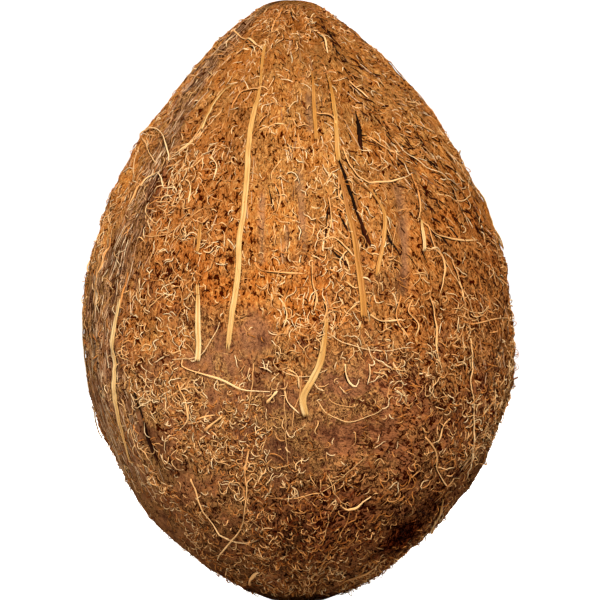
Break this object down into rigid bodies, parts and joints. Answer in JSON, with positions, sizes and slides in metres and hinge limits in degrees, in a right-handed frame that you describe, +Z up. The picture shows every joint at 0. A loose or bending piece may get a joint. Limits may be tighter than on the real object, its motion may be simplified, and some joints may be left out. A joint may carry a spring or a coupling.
{
  "type": "coconut",
  "caption": "Whole mature coconut with its outer husk stripped, pointed end up, covered in rough coir fibre with loose straw-like strands.",
  "frame": {"origin": "on the ground plane, in the middle of the nut's box, at the centre of the small flat spot that it stands on to within 2 mm", "axes": "+Z up from the blunt end to the pointed end, -Y out of the broad side between two sutures"},
  "size_m": [0.1104, 0.1114, 0.1489],
  "materials": {
    "coir": "dry matted coir fibre over a hard brown shell, matt"
  },
  "bodies": {
    "root": {"coconut": "coir"}
  },
  "joints": []
}
